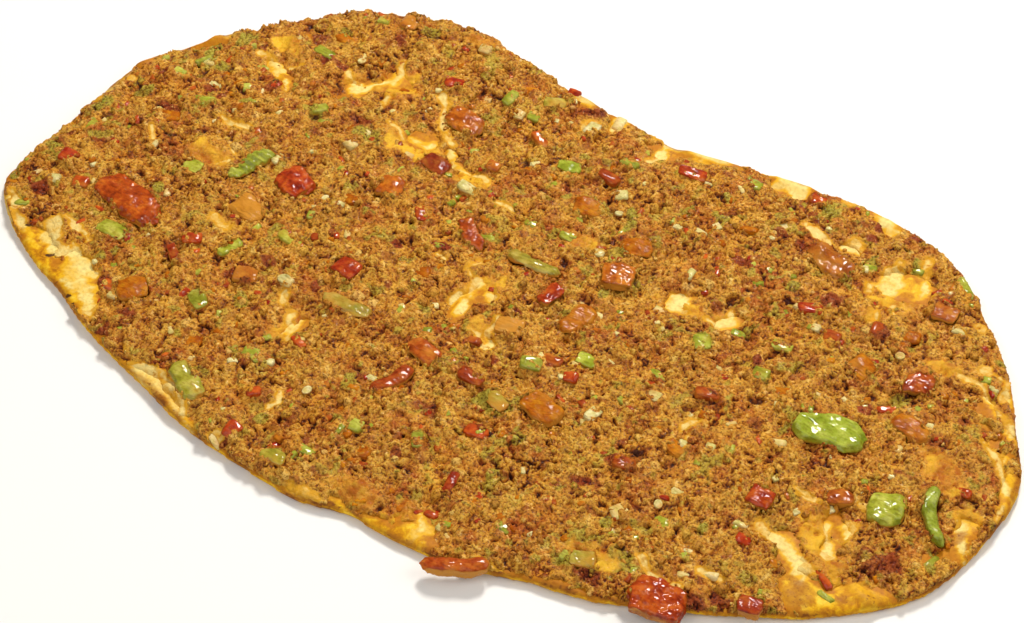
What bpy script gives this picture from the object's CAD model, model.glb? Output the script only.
# %% [markdown]
# A garlic lahmacun is a long oval of thin dough, stretched by hand, spread with a thin layer of
# minced meat and finely cut tomato, peppers, onion and garlic, and baked until the rim is crisp.
# It could be made freely in Blender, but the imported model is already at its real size, so it is
# the fixed frame here: every piece is laid over the solid that it stands for and stays on it.

import math

import bpy
import numpy as np
from mathutils import Matrix, Vector
from mathutils.bvhtree import BVHTree
from mathutils.kdtree import KDTree


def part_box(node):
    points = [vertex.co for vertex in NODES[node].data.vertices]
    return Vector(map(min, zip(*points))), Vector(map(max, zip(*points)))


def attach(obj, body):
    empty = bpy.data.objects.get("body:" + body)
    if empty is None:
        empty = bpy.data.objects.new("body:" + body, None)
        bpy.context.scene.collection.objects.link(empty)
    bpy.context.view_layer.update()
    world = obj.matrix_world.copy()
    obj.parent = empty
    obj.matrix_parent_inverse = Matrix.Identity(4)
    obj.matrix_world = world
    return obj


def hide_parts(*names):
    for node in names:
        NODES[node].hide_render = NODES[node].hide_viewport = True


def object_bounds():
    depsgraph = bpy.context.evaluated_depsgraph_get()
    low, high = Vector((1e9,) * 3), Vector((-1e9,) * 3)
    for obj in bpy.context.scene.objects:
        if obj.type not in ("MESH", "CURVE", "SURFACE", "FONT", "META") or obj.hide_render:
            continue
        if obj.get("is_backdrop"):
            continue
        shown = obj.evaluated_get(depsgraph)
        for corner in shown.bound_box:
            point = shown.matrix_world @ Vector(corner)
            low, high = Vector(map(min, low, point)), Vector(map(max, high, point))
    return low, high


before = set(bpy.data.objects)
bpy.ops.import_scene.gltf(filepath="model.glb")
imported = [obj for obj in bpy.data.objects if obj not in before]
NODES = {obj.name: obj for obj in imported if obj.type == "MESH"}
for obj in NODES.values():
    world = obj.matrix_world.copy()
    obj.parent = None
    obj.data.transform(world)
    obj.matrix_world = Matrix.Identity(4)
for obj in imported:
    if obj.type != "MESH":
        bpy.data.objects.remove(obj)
CAD_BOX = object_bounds()
MM = 0.001
SEED = 5


def in_mm(box):
    """The numbers of a box's two corners in mm."""
    return [round(v / MM, 1) for corner in box for v in corner]


print("CAD nodes:", len(NODES), "box in mm:", in_mm(CAD_BOX))

# %% [markdown]
# The photograph looks down on the bread at about 50 degrees from one side of its near end. A
# camera could be turned by hand until the picture fits, but here its place and the point it looks
# at were worked out from the outline of the bread, so both are given as real sizes.

# %% Camera
CAMERA_PLACE = Vector((233.4, -401.5, 550.8)) * MM
CAMERA_AIM = Vector((5.83, -4.56, 5.5)) * MM
CAMERA_LENS = 85.0

bpy.ops.object.select_all(action="DESELECT")
bpy.ops.object.camera_add(location=CAMERA_PLACE)
camera = bpy.context.object
camera.rotation_euler = (CAMERA_AIM - CAMERA_PLACE).to_track_quat("-Z", "Y").to_euler()
camera.data.lens = CAMERA_LENS
camera.data.clip_start = 0.01
bpy.context.scene.camera = camera
print("camera is", round((CAMERA_PLACE - CAMERA_AIM).length, 3), "m from the bread")

# %% [markdown]
# Food is lit softly from behind, so that every crumb has a lit top and a small shadow towards the
# viewer, and wet pieces show a white glint. One large lamp would do that but would flatten the
# grain, so a smaller lamp makes the glints and shadows, and a wide one and the world fill them.

# %% Floor and lights
LIGHT_AIM = Vector((0, 0, 0))
LAMPS = (
    ("key_lamp", (-0.10, 0.58, 0.80), 0.21, 9.5, (1.0, 0.97, 0.92)),
    ("side_lamp", (0.60, 0.20, 0.60), 0.60, 2.5, (1.0, 0.98, 0.95)),
    ("front_lamp", (-0.15, -0.75, 0.80), 1.20, 6.9, (1.0, 0.98, 0.96)),
)
WORLD_LEVEL = 0.21
FLOOR_SIZE = 6
FLOOR_GAP = 0.05 * MM

for name, place, size, power, colour in LAMPS:
    bpy.ops.object.light_add(type="AREA", location=place)
    lamp = bpy.context.object
    lamp.name = name
    lamp.rotation_euler = (LIGHT_AIM - Vector(place)).to_track_quat("-Z", "Y").to_euler()
    lamp.data.size = size
    lamp.data.energy = power
    lamp.data.color = colour

world = bpy.data.worlds.new("studio")
bpy.context.scene.world = world
world.use_nodes = True
background = world.node_tree.nodes["Background"]
background.inputs["Color"].default_value = (1.0, 0.99, 0.97, 1.0)
background.inputs["Strength"].default_value = WORLD_LEVEL
bpy.context.scene.view_settings.view_transform = "Standard"

bpy.ops.mesh.primitive_plane_add(size=FLOOR_SIZE, location=(0, 0, CAD_BOX[0].z - FLOOR_GAP))
floor = bpy.context.object
floor.name = "floor"
bpy.ops.object.transform_apply(location=True)
floor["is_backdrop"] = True
print("lamps:", [row[0] for row in LAMPS])

# %% [markdown]
# A few helpers keep the steps below short. A piece is taken up alone before an operator runs on
# it, because operators act on all that is selected. A copy of a solid is merged first, since its
# triangles come in loose. Numbers for each corner are written to the mesh, so that a material can
# read how deep a crevice is or how near the meat lies.

# %% Helpers for pieces
MERGE_DISTANCE = 0.001 * MM


def take_up(piece):
    """Selects one piece and nothing else."""
    bpy.ops.object.select_all(action="DESELECT")
    piece.select_set(True)
    bpy.context.view_layer.objects.active = piece


def add_piece(name, mesh):
    """Puts a mesh into the scene as a piece and takes it up."""
    piece = bpy.data.objects.new(name, mesh)
    bpy.context.scene.collection.objects.link(piece)
    take_up(piece)
    return piece


def copy_of(node, name):
    """A merged copy of a CAD node under a new name."""
    piece = add_piece(name, NODES[node].data.copy())
    piece.data.materials.clear()
    bpy.ops.object.mode_set(mode="EDIT")
    bpy.ops.mesh.select_all(action="SELECT")
    bpy.ops.mesh.remove_doubles(threshold=MERGE_DISTANCE)
    bpy.ops.object.mode_set(mode="OBJECT")
    bpy.ops.mesh.customdata_custom_splitnormals_clear()
    return piece


def apply_modifier(piece, kind, **settings):
    """Adds one modifier with its settings and applies it."""
    take_up(piece)
    modifier = piece.modifiers.new(kind, kind)
    for key, value in settings.items():
        setattr(modifier, key, value)
    bpy.ops.object.modifier_apply(modifier=modifier.name)


def corners(piece, what="co"):
    """One row for each corner of a mesh: its place in metres, or what else is asked for."""
    rows = np.zeros(len(piece.data.vertices) * 3, np.float32)
    piece.data.vertices.foreach_get(what, rows)
    return rows.reshape(-1, 3).astype(float)


def normals(piece):
    """The direction each corner faces."""
    return corners(piece, "normal")


def move_corners(piece, places):
    """Puts the corners of a mesh at new places."""
    piece.data.vertices.foreach_set("co", places.astype(np.float32).ravel())
    piece.data.update()


def mark(piece, label, values):
    """Writes one number for each corner, for a material to read."""
    layer = piece.data.attributes.new(label, "FLOAT", "POINT")
    layer.data.foreach_set("value", np.asarray(values, np.float32))


def read_mark(piece, label):
    """The numbers that were marked on the corners, which stay right when faces are deleted."""
    values = np.zeros(len(piece.data.vertices), np.float32)
    piece.data.attributes[label].data.foreach_get("value", values)
    return values


def choose_faces(piece, chosen):
    """Goes into edit mode with the chosen faces selected."""
    take_up(piece)
    bpy.context.tool_settings.mesh_select_mode = (False, False, True)
    bpy.ops.object.mode_set(mode="EDIT")
    bpy.ops.mesh.select_all(action="DESELECT")
    bpy.ops.object.mode_set(mode="OBJECT")
    piece.data.polygons.foreach_set("select", chosen)
    bpy.ops.object.mode_set(mode="EDIT")


def delete_faces(piece, unwanted):
    """Deletes the faces for which the list says so, and what they leave loose."""
    choose_faces(piece, unwanted)
    bpy.ops.mesh.delete(type="FACE")
    bpy.ops.object.mode_set(mode="OBJECT")


def shade_smooth(piece):
    """Takes a piece up and shades its faces smooth."""
    take_up(piece)
    bpy.ops.object.shade_smooth()


def smooth_step(value, start=0.0, span=1.0):
    """Rises smoothly from 0 to 1 while the value goes through a span from its start."""
    value = np.clip((value - start) / span, 0, 1)
    return value * value * (3 - 2 * value)


def oval_share(places, row):
    """How far each place is from an oval's middle: 1 on its edge. The row is in mm and degrees."""
    x, y, length, width, turn = (*row, 0)[:5]
    angle = math.radians(turn)
    dx = places[:, 0] / MM - x
    dy = places[:, 1] / MM - y
    along = dx * math.cos(angle) + dy * math.sin(angle)
    across = dy * math.cos(angle) - dx * math.sin(angle)
    return np.hypot(along / (length / 2), across / (width / 2))


def pattern(piece, label, size, depth=2, kind="CLOUDS", **settings):
    """How high, from 0 to 1, a Blender texture stands at each corner. Its size is in mm."""
    texture = bpy.data.textures.new(label, kind)
    texture.noise_scale = size * MM
    if kind == "CLOUDS":
        texture.noise_depth = depth
    for key, value in settings.items():
        setattr(texture, key, value)
    before = corners(piece)
    apply_modifier(
        piece, "DISPLACE", texture=texture, texture_coords="LOCAL", direction="Z",
        strength=1.0, mid_level=0.0,
    )
    heights = corners(piece)[:, 2] - before[:, 2]
    move_corners(piece, before)
    low, high = np.percentile(heights, (1, 99))
    return np.clip((heights - low) / (high - low), 0, 1)


print("helpers ready")

# %% [markdown]
# Every finish is a node material: colours are given as sRGB hex and turned to linear by one
# function, and each pattern's scale is one over its real size in metres. One small function adds
# a node, sets its sockets and links it, so that a material reads as a short list of what it has.

# %% Helpers for materials
MIX_FACTOR, MIX_A, MIX_B, MIX_RESULT = 0, 6, 7, 2
MIX_NUMBER_A, MIX_NUMBER_B = 2, 3
NOISE_MIDDLE = 0.5


def linear(code):
    """The linear colour of an sRGB hex code."""
    channels = [int(code[i:i + 2], 16) / 255 for i in (0, 2, 4)]
    return (*[c / 12.92 if c <= 0.04045 else ((c + 0.055) / 1.055) ** 2.4 for c in channels], 1.0)


def add_node(material, kind, sockets=None, links=None, stops=None, out=0, **settings):
    """Adds one node and gives its output. Sockets are values, links are outputs that feed it, and
    stops are a ramp's colours."""
    tree = material.node_tree
    node = tree.nodes.new("ShaderNode" + kind)
    for key, value in settings.items():
        setattr(node, key, value)
    for key, value in (sockets or {}).items():
        node.inputs[key].default_value = value
    for key, output in (links or {}).items():
        tree.links.new(output, node.inputs[key])
    if stops:
        ramp = node.color_ramp.elements
        while len(ramp) < len(stops):
            ramp.new(1.0)
        for element, (position, code) in zip(ramp, stops):
            element.position = position
            element.color = linear(code)
    return node.outputs[out]


def new_material(name, colour, sockets):
    """A Principled material whose colour is painted by its nodes. Colour shows where they don't."""
    material = bpy.data.materials.new(name)
    material.use_nodes = True
    material.diffuse_color = linear(colour)
    for key, value in sockets.items():
        material.node_tree.nodes["Principled BSDF"].inputs[key].default_value = value
    return material


def feed_shader(material, links):
    """Leads outputs into the sockets of the material's own shader."""
    shader = material.node_tree.nodes["Principled BSDF"]
    for key, output in links.items():
        material.node_tree.links.new(output, shader.inputs[key])


def lay_over(material, colour, *layers):
    """Lays colours over one another, each where its amount, broken up by a noise, is high."""
    for amount, break_up, low, high, code in layers:
        uneven = add_node(material, "Math", {1: NOISE_MIDDLE}, {0: break_up}, operation="SUBTRACT")
        total = add_node(material, "Math", links={0: amount, 1: uneven}, operation="ADD")
        factor = add_node(
            material, "MapRange", {"From Min": low, "From Max": high}, {"Value": total},
            interpolation_type="SMOOTHSTEP",
        )
        colour = add_node(
            material, "Mix", {MIX_B: linear(code)}, {MIX_FACTOR: factor, MIX_A: colour},
            out=MIX_RESULT, data_type="RGBA",
        )
    return colour


floor_paint = new_material(
    "matt_studio_paint", "E6E4E0", {"Roughness": 0.9, "Base Color": linear("E6E4E0")}
)
floor.data.materials.append(floor_paint)
print("first material:", floor_paint.name)

# %% [markdown]
# The minced meat bakes to a dry, grainy crust: ochre on the tops of the crumbs, dark brown in
# the cracks, and orange where the fat and tomato juice ran. An image could paint that, but it
# would be the photograph's own. Here noises from the size of a patch down to a grain mix the
# browns, the crack depth written on the mesh darkens them, and a thin coat gives the fat its
# small sharp glints.

# %% Material of the minced meat
PATCH_SIZE = 16 * MM
ZONE_SIZE = 9 * MM
STREAK_SIZE = 4 * MM
CRUMB_SIZE = 2.8 * MM
GRAIN_SIZE = 0.8 * MM
GRAIN_BUMP = 0.52 * MM


def make_mince():
    """Baked minced meat: coarse grain that scatters light, under a thin film of fat."""
    material = new_material(
        "baked_minced_meat", "BC8236",
        {"IOR": 1.4, "Specular IOR Level": 0.14, "Coat Weight": 0.12, "Coat Roughness": 0.12},
    )
    place = add_node(material, "TexCoord", out="Object")
    shade, crevice, smear, rust, olive, cream = (
        add_node(material, "Attribute", out="Fac", attribute_name=label)
        for label in ("shade", "crevice", "smear", "rust", "olive", "cream")
    )
    patches, crumbs, grain = (
        add_node(
            material, "TexNoise", {"Scale": 1 / size, "Detail": detail, "Roughness": rough},
            {"Vector": place},
        )
        for size, detail, rough in (
            (PATCH_SIZE, 3.0, 0.5), (CRUMB_SIZE, 4.0, 0.62), (GRAIN_SIZE, 3.0, 0.7),
        )
    )
    warm_zones, golden_zones, streaks = (
        add_node(
            material, "TexNoise",
            {"Scale": 1 / size, "Detail": detail, "Roughness": rough, "Distortion": bent, "W": w},
            {"Vector": place}, noise_dimensions="4D",
        )
        for size, detail, rough, bent, w in (
            (ZONE_SIZE, 2.0, 0.5, 0.0, 2.0), (ZONE_SIZE, 2.0, 0.5, 0.0, 5.0),
            (STREAK_SIZE, 4.0, 0.62, 0.8, 8.0),
        )
    )
    crust, regions, each, speckle, shadow = (
        add_node(material, "ValToRGB", links={"Fac": source}, stops=stops)
        for source, stops in (
            (crumbs, (
                (0.32, "9C5C18"), (0.43, "C48A2C"), (0.52, "D2A038"), (0.61, "CAA644"),
                (0.72, "EAC45C"),
            )),
            (patches, ((0.32, "BC6C1C"), (0.45, "CC9230"), (0.56, "C4A23C"), (0.68, "D88E28"))),
            (shade, (
                (0.08, "8A4E1C"), (0.26, "B27428"), (0.40, "CA9238"), (0.53, "C0983E"),
                (0.66, "D09034"), (0.80, "DEB04A"), (0.94, "F0CC78"),
            )),
            (grain, ((0.36, "6C4820"), (0.46, "D4C49C"), (0.54, "FFFFFF"))),
            (crevice, ((0.25, "FFFFFF"), (0.52, "F0DCB8"), (0.74, "BE8E50"), (0.95, "5A340C"))),
        )
    )
    colour = crust
    for other in (regions, each):
        colour = add_node(
            material, "Mix", {MIX_FACTOR: 0.5}, {MIX_A: colour, MIX_B: other},
            out=MIX_RESULT, data_type="RGBA",
        )
    colour = lay_over(
        material, colour,
        (warm_zones, crumbs, 0.46, 0.80, "AA5016"), (golden_zones, crumbs, 0.46, 0.85, "D49A30"),
        (rust, golden_zones, 0.25, 1.15, "8E3C16"), (olive, warm_zones, 0.20, 1.05, "A69834"),
    )
    colour = add_node(
        material, "Mix", {MIX_FACTOR: 0.85}, {MIX_A: colour, MIX_B: speckle},
        out=MIX_RESULT, data_type="RGBA", blend_type="MULTIPLY",
    )
    colour = lay_over(
        material, colour,
        (grain, crumbs, 0.64, 0.90, "EEC878"), (smear, grain, 0.15, 1.45, "C88422"),
        (smear, streaks, 0.80, 1.05, "A4560F"), (smear, golden_zones, 0.78, 1.10, "E0AE2C"),
        (cream, crumbs, 0.10, 0.75, "CE941E"), (cream, streaks, 0.74, 1.15, "E2C87A"),
    )
    painted = add_node(
        material, "Mix", {MIX_FACTOR: 1.0}, {MIX_A: colour, MIX_B: shadow},
        out=MIX_RESULT, data_type="RGBA", blend_type="MULTIPLY",
    )
    gloss = add_node(
        material, "MapRange", {"From Min": 0.3, "From Max": 0.7, "To Min": 0.40, "To Max": 0.70},
        {"Value": crumbs},
    )
    bump = add_node(
        material, "Bump", {"Strength": 0.85, "Distance": GRAIN_BUMP}, {"Height": grain}
    )
    feed_shader(material, {
        "Base Color": painted, "Roughness": gloss, "Normal": bump, "Coat Normal": bump,
    })
    return material


MINCE = make_mince()
print("material:", MINCE.name)

# %% [markdown]
# The dough bakes cream where it puffed up, gold where it lay against the heat, brown on the
# highest points, and it takes up orange fat beside the meat. Those are amounts written on the
# mesh at places seen in the photograph. The nodes only break them up, so that no edge is drawn.

# %% Material of the dough
FLOUR_SIZE = 5 * MM
SPECK_SIZE = 1.1 * MM
TOAST_SIZE = 7 * MM
FLOUR_BUMP = 0.6 * MM


def make_dough():
    """Baked wheat dough: a dull, slightly floury skin with toasted spots."""
    material = new_material("baked_wheat_dough", "EBC878", {"IOR": 1.4, "Specular IOR Level": 0.2})
    place = add_node(material, "TexCoord", out="Object")
    stain, cream, toast, char = (
        add_node(material, "Attribute", out="Fac", attribute_name=label)
        for label in ("stain", "cream", "toast", "char")
    )
    soft, fine, blotches = (
        add_node(
            material, "TexNoise",
            {"Scale": 1 / size, "Detail": detail, "Roughness": rough, "Distortion": bent},
            {"Vector": place},
        )
        for size, detail, rough, bent in (
            (FLOUR_SIZE, 5.0, 0.6, 0.6), (SPECK_SIZE, 3.0, 0.5, 0.0), (TOAST_SIZE, 6.0, 0.65, 0.0),
        )
    )
    base, specks = (
        add_node(material, "ValToRGB", links={"Fac": source}, stops=stops)
        for source, stops in (
            (soft, ((0.34, "985A08"), (0.44, "C88808"), (0.53, "DEAA10"), (0.66, "EAC440"))),
            (fine, ((0.30, "D8C8B4"), (0.55, "FFFFFF"))),
        )
    )
    colour = lay_over(
        material, base,
        (stain, blotches, 0.45, 1.10, "B4700C"), (cream, blotches, 0.10, 0.70, "DAA418"),
        (cream, soft, 0.60, 1.12, "E2CE7E"), (toast, blotches, 0.35, 0.95, "A06210"),
        (toast, fine, 0.72, 1.00, "7A4410"), (char, fine, 0.62, 1.00, "4A2A10"),
    )
    painted = add_node(
        material, "Mix", {MIX_FACTOR: 0.6}, {MIX_A: colour, MIX_B: specks},
        out=MIX_RESULT, data_type="RGBA", blend_type="MULTIPLY",
    )
    gloss = add_node(
        material, "MapRange", {"From Min": 0.3, "From Max": 0.7, "To Min": 0.45, "To Max": 0.7},
        {"Value": soft},
    )
    height = add_node(
        material, "Mix", {MIX_FACTOR: 0.3}, {MIX_NUMBER_A: soft, MIX_NUMBER_B: fine},
        data_type="FLOAT",
    )
    bump = add_node(
        material, "Bump", {"Strength": 0.5, "Distance": FLOUR_BUMP}, {"Height": height}
    )
    feed_shader(material, {"Base Color": painted, "Roughness": gloss, "Normal": bump})
    return material


DOUGH = make_dough()
print("material:", DOUGH.name)

# %% [markdown]
# Baked vegetables keep a wet, tight skin: tomato wrinkles and turns deep red, peppers stay
# smoother and shine in broad patches, and onion goes glassy. All share one build, with their own
# colours, sizes and gloss. Cut sides are darker than the skin on top. Each row gives the name, the
# dark, middle and light colour of the skin, the colour of the side, the sizes of mottling and
# wrinkles and the height of the bump in mm, the roughness and the weight of the wet coat.

# %% Materials of the vegetables
SPLASH_SIZE = 6 * MM
PORE_SIZE = 1.4 * MM
FIBRE_TURN = 0.6
FIBRE_STRETCH = (0.38, 1.0, 1.0)
GLOSS_RANGE = 0.2
VEGETABLES = {
    "tomato": (
        "wet_tomato_flesh", ("6E1206", "A6300C", "C6581A"), "7A1C08", 3.2, 2.3, 0.33, 0.14, 0.45
    ),
    "red_pepper": (
        "roasted_red_pepper", ("782408", "A04212", "B4601E"), "802C0A", 3.0, 2.1, 0.26, 0.20, 0.30
    ),
    "orange_pepper": (
        "roasted_orange_pepper", ("8C3E06", "AE5C08", "C07A12"), "8C4008",
        2.6, 1.6, 0.36, 0.28, 0.16
    ),
    "green_pepper": (
        "roasted_green_pepper", ("767A16", "98982A", "B8B44C"), "867E1A",
        4.0, 2.4, 0.28, 0.18, 0.48
    ),
    "onion": (
        "glassy_onion", ("A4964C", "C2B272", "DED4A2"), "A08C44", 3.0, 1.6, 0.30, 0.22, 0.20
    ),
}


def make_vegetable(name, skin_colours, side_colour, mottle_size, fold_size, height, rough, coat):
    """Skin and flesh of one kind of vegetable."""
    dark, middle, light = skin_colours
    material = new_material(
        name, middle,
        {"IOR": 1.4, "Specular IOR Level": 0.05, "Coat Weight": coat, "Coat Roughness": 0.05},
    )
    place = add_node(material, "TexCoord", out="Object")
    side, shade, sauce, hue, dull = (
        add_node(material, "Attribute", out="Fac", attribute_name=label)
        for label in ("side", "shade", "sauce", "hue", "dull")
    )
    fibres = add_node(
        material, "Mapping", {"Rotation": (0, 0, FIBRE_TURN), "Scale": FIBRE_STRETCH},
        {"Vector": place},
    )
    mottle, splashes, pores, grain = (
        add_node(
            material, "TexNoise",
            {"Scale": 1 / size, "Detail": detail, "Roughness": roughness, "Distortion": bent},
            {"Vector": source},
        )
        for size, detail, roughness, bent, source in (
            (mottle_size * MM, 4.0, 0.6, 0.0, place), (SPLASH_SIZE, 5.0, 0.5, 0.0, place),
            (PORE_SIZE, 1.0, 0.5, 0.6, fibres), (GRAIN_SIZE, 3.0, 0.7, 0.0, fibres),
        )
    )
    folds = add_node(
        material, "TexNoise",
        {"Scale": 1 / (fold_size * MM), "Detail": 1.0, "Offset": 1.0, "Distortion": 0.5},
        {"Vector": fibres}, noise_type="RIDGED_MULTIFRACTAL",
    )
    wrinkles = add_node(
        material, "Mix", {MIX_FACTOR: 0.45}, {MIX_NUMBER_A: folds, MIX_NUMBER_B: pores},
        data_type="FLOAT",
    )
    skin, speckle = (
        add_node(material, "ValToRGB", links={"Fac": source}, stops=stops)
        for source, stops in (
            (mottle, ((0.28, dark), (0.48, middle), (0.66, light))),
            (grain, ((0.38, "A88454"), (0.52, "FFFFFF"))),
        )
    )
    cut = add_node(
        material, "Mix", {MIX_B: linear(side_colour)}, {MIX_FACTOR: side, MIX_A: skin},
        out=MIX_RESULT, data_type="RGBA",
    )
    tone = add_node(material, "MapRange", {"To Min": 0.55, "To Max": 1.30}, {"Value": shade})
    toned = add_node(
        material, "HueSaturation", links={"Color": cut, "Value": tone, "Hue": hue}
    )
    grainy = add_node(
        material, "Mix", {MIX_FACTOR: 0.4}, {MIX_A: toned, MIX_B: speckle},
        out=MIX_RESULT, data_type="RGBA", blend_type="MULTIPLY",
    )
    low_down = add_node(
        material, "Math", {1: 0.7}, {0: side, 2: sauce}, operation="MULTIPLY_ADD"
    )
    painted = lay_over(material, grainy, (low_down, splashes, 0.35, 0.90, "BC7E2A"))
    gloss = add_node(
        material, "MapRange",
        {"From Min": 0.3, "From Max": 0.7, "To Min": rough, "To Max": rough + GLOSS_RANGE},
        {"Value": mottle},
    )
    gloss = add_node(material, "Math", links={0: gloss, 1: dull}, operation="ADD")
    bump = add_node(
        material, "Bump", {"Strength": 0.75, "Distance": height * MM}, {"Height": wrinkles}
    )
    feed_shader(material, {
        "Base Color": painted, "Roughness": gloss, "Normal": bump, "Coat Normal": bump,
    })
    return material


FLESH = {kind: make_vegetable(*look) for kind, look in VEGETABLES.items()}
print("materials:", [material.name for material in FLESH.values()])

# %% [markdown]
# What makes this bread itself is where each thing lies. The places were noted from the photograph
# laid out flat under a grid, so a row is real millimetres from the middle of the bread: the middle,
# length and width of an oval, then its turn in degrees if it has one, then how strong it is if
# it isn't full. A vein of cream is a line with a width. A picture could hold all this, but no
# picture is used, and these few rows can be edited.

# %% Places of the tones
SPOT_REACH = 1.3
SPOT_SOFTNESS = 0.6
VEIN_SOFTNESS = 1.8
WOBBLE = 0.8
CREAM_VEINS = (
    (((-77, 69), (-75, 64), (-77, 61), (-81, 57)), 3.0),
    (((-90, 57), (-87, 55), (-85, 52), (-82, 50)), 3.0), (((-74, 54), (-72, 50)), 3.0),
    (((-58, 62), (-55, 59), (-53, 53), (-49, 49), (-45, 46)), 3.0), (((-44, 43), (-41, 39)), 2.2),
    (((-68, 45), (-62, 43), (-60, 41)), 2.2), (((-58, 43), (-52, 42), (-50, 44)), 2.6),
    (((-38, 39), (-33, 38), (-29, 39), (-27, 37)), 1.8), (((-20, 31), (-14, 31)), 1.8),
    (((-120, 51), (-116, 51), (-113, 48), (-109, 45)), 2.6), (((-106, 45), (-104, 41)), 2.4),
    (((-108, 50), (-105, 52)), 1.8), (((-114, 20), (-109, 19), (-104, 20)), 2.2),
    (((-104, 11), (-101, 8)), 2.0), (((-104, 2), (-101, 5)), 2.0), (((-130, 5), (-127, 1)), 1.6),
    (((-12, 8), (-14, 4), (-10, 0), (-9, -4)), 3.0), (((-10, 2), (-5, 0), (-2, -2)), 3.0),
    (((-25, 4), (-20, 3)), 1.6), (((4, -9), (3, -13), (6, -17), (4, -19)), 3.0),
    (((-12, -5), (-12, -9)), 2.4), (((-2, -16), (1, -16)), 1.8), (((-56, -31), (-55, -35)), 2.6),
    (((-51, -37), (-48, -42), (-46, -46)), 3.0), (((-37, -63), (-35, -67), (-37, -70)), 2.0),
    (((-92, -16), (-88, -19), (-85, -19)), 3.4), (((-131, -39), (-125, -40), (-120, -43)), 2.4),
    (((43, 24), (49, 22)), 2.6), (((43, 26), (50, 28)), 2.0), (((62, 28), (64, 25)), 3.2),
    (((57, 22), (62, 22)), 2.4), (((98, 52), (100, 47)), 2.2), (((102, 54), (104, 50)), 2.0),
    (((13, 78), (12, 71)), 2.6), (((66, 70), (75, 68)), 3.2), (((34, -12), (30, -13)), 2.0),
    (((72, -13), (69, -17)), 3.0), (((72, -20), (72, -25)), 2.0), (((107, -22), (114, -22)), 1.8),
    (((103, -36), (110, -37), (116, -40), (120, -43)), 4.0), (((118, -27), (122, -33)), 2.6),
    (((78, -62), (85, -66), (92, -66)), 3.0), (((95, -58), (101, -58)), 2.4),
    (((123, 54), (127, 53)), 1.8), (((134, 44), (141, 44)), 2.6), (((142, 44), (146, 38)), 3.0),
    (((104, 76), (104, 70)), 2.6), (((97, 70), (95, 62), (93, 58)), 4.0),
    (((95, 62), (101, 64)), 3.4), (((106, 70), (108, 62)), 3.0),
    (((-118, -59), (-108, -62), (-103, -66)), 4.0),
    (((-80, -77), (-73, -74), (-66, -76), (-60, -80), (-53, -87)), 2.4),
    (((19, -79), (24, -86), (28, -91)), 2.0), (((120, -42), (120, -48)), 3.0),
    (((149, -8), (152, -14), (156, -19)), 2.0), (((-152, -38), (-148, -43), (-140, -49)), 3.0),
    (((129, 38), (136, 39), (142, 34), (150, 29), (153, 25)), 2.2),
    (((145, 21), (151, 16), (155, 11), (158, 4), (158, -2)), 2.4),
    (((-150, 38), (-146, 44), (-140, 48)), 5.0), (((-137, 52), (-133, 55)), 4.0),
    (((-154, 22), (-154, 13)), 3.0), (((8, 82), (20, 83), (34, 85)), 3.0),
    (((-20, 86), (-16, 84)), 3.0), (((-126, 67), (-123, 70)), 2.0),
)
PALE_AREAS = (
    (-132, -45, 8, 13, 25), (-127, -50, 8, 6), (-118, -50, 16, 6, -25),
    (-116, -56, 18, 8, -40, 0.8), (-109, -60, 12, 7, -45), (-105, -64, 7, 5, 0, 0.9),
    (-125, -41, 12, 3, -10), (-149, -41, 10, 3.5, -50), (-145, -46, 6, 3, -30, 0.8),
    (-146, 42, 12, 6, 50, 0.9), (-142, 46, 9, 5, 35, 0.6), (-134, 53, 6, 4, 40, 0.7),
    (-153, 18, 3, 12, 0, 0.7), (-149, 20, 3, 3, 0, 0.9), (-153, 8, 3, 6, 0, 0.6),
    (-19, 86, 7, 5, 30), (-4, 80, 5, 10, -10), (-11, 74, 6, 7, 0, 0.8), (13, 76, 3, 12),
    (16, 81, 10, 3), (27, 82, 16, 4, 5), (45, 85, 10, 2.5, 5, 0.7), (55, 85, 12, 5, 0, 0.9),
    (58, 82, 5, 6), (73, 86, 7, 4, 0, 0.8), (87, 85, 9, 5, 0, 0.9), (89, 82, 4, 6, 0, 0.9),
    (70, 69, 10, 4, -10), (82, 71, 7, 5, 0, 0.9), (97, 66, 6, 7), (97, 60, 9, 6),
    (26, 79, 5, 3, 0, 0.7), (-75, -75, 12, 4, 10), (-70, -79, 28, 8, -18, 0.85),
    (-64, -77, 10, 3, -15, 0.95), (-55, -85, 10, 4, -25, 0.6), (-44, -85, 5, 4, 0, 0.9),
    (-12, -89, 12, 4, 0, 0.8), (4, -90, 16, 3, 0, 0.6), (-28, -91, 10, 3, 0, 0.5),
    (112, -39, 14, 5, -25), (118, -43, 6, 5, -60), (123, -36, 6, 4, 0, 0.95),
    (124, -25, 5, 7, 0, 0.85), (125, -17, 4, 3, 0, 0.9), (111, -21, 12, 2, 0, 0.9),
    (115, -30, 12, 7, -60, 0.45), (121, -50, 10, 9, -60, 0.55), (137, -43, 10, 7, 0, 0.6),
    (127, -41, 10, 3, -40, 0.6), (151, -6, 8, 8, 0, 0.6), (151, -9, 5, 3, 0, 0.9),
    (154, -14, 8, 1.6, -50, 0.9), (136, 44, 6, 5, 0, 0.9), (144, 39, 4, 6, -20, 0.9),
    (128, 59, 4, 4, 0, 0.8), (132, 39, 12, 2.2, 5, 0.9), (139, 36, 6, 2, -50, 0.9),
    (149, 28, 10, 1.8, -45, 0.8), (156, 13, 3, 10, 20, 0.7), (152, 18, 3, 4, 0, 0.7),
    (101, 55, 6, 6, 0, 0.25), (98, 47, 3, 6, 0, 0.5), (103, 62, 12, 6, 0, 0.2),
    (125, 38, 8, 4, 0, 0.45), (46, -86, 16, 4, 8, 0.8), (62, -83, 16, 4, 14, 0.7),
    (22, -85, 9, 5, 60, 0.75),
)
MEAT_PATCHES = ((147, 31, 16, 8, -50), (152, 21, 6, 12, -60))
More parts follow.
